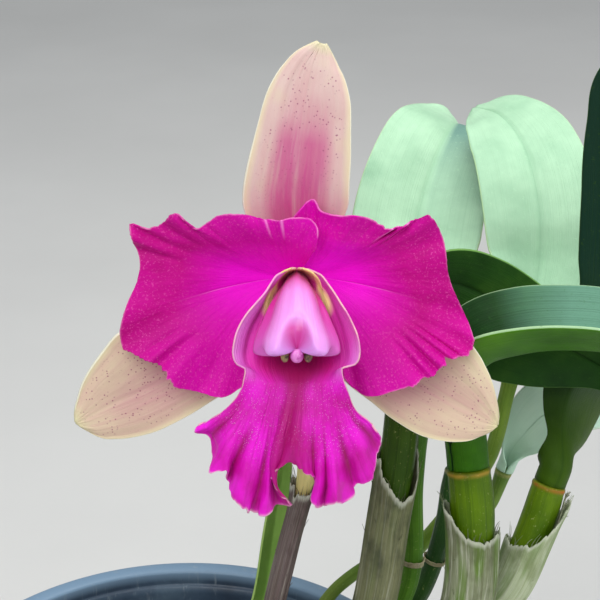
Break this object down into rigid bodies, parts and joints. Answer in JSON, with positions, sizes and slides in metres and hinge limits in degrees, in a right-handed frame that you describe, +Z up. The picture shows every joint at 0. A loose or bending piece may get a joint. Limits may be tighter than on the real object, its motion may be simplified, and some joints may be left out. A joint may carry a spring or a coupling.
{
  "type": "cattleya orchid",
  "caption": "Potted cattleya orchid: a magenta bloom with cream spotted sepals and a ruffled lip, upright canes with strap leaves, in a round plastic pot of bark.",
  "frame": {"origin": "middle of the pot's flat underside", "axes": "+Z up; the bloom looks towards -Y; +X is to the right of a viewer who faces the bloom"},
  "size_m": [0.28, 0.2977, 0.4006],
  "materials": {
    "pot_plastic": "satin, moulded",
    "bark_chips": "rough",
    "cane": "smooth, faintly ribbed",
    "papery_sheath": "dry, fibrous",
    "leaf": "satin with a waxy bloom",
    "root": "matt, velvety",
    "sepal": "satin",
    "petal": "velvety, sparkling",
    "lip": "velvety, sparkling",
    "column": "satin",
    "anther": "satin",
    "pollen": "waxy",
    "flower_stalk": "satin"
  },
  "bodies": {
    "root": {"pot": "pot_plastic", "bark": "bark_chips", "growth_flowering": "cane", "growth_left": "cane", "growth_middle": "cane", "growth_right": "cane", "growth_slim": "cane", "growth_back": "cane", "growth_old": "cane", "growth_far": "cane", "sheath_left": "papery_sheath", "sheath_middle": "papery_sheath", "sheath_right": "papery_sheath", "sheath_flowering": "papery_sheath", "leaf_middle": "leaf", "leaf_left": "leaf", "leaf_right": "leaf", "leaf_slim": "leaf", "leaf_back": "leaf", "leaf_flowering": "leaf", "leaf_far": "leaf", "young_leaf": "leaf", "root_front": "root", "root_left": "root", "root_back": "root", "root_side": "root", "sepal_dorsal": "sepal", "sepal_left": "sepal", "sepal_right": "sepal", "petal_left": "petal", "petal_right": "petal", "lip": "lip", "column": "column", "anther_cap": "anther", "pollinium_left": "pollen", "pollinium_right": "pollen", "ovary_stalk": "flower_stalk"}
  },
  "joints": []
}
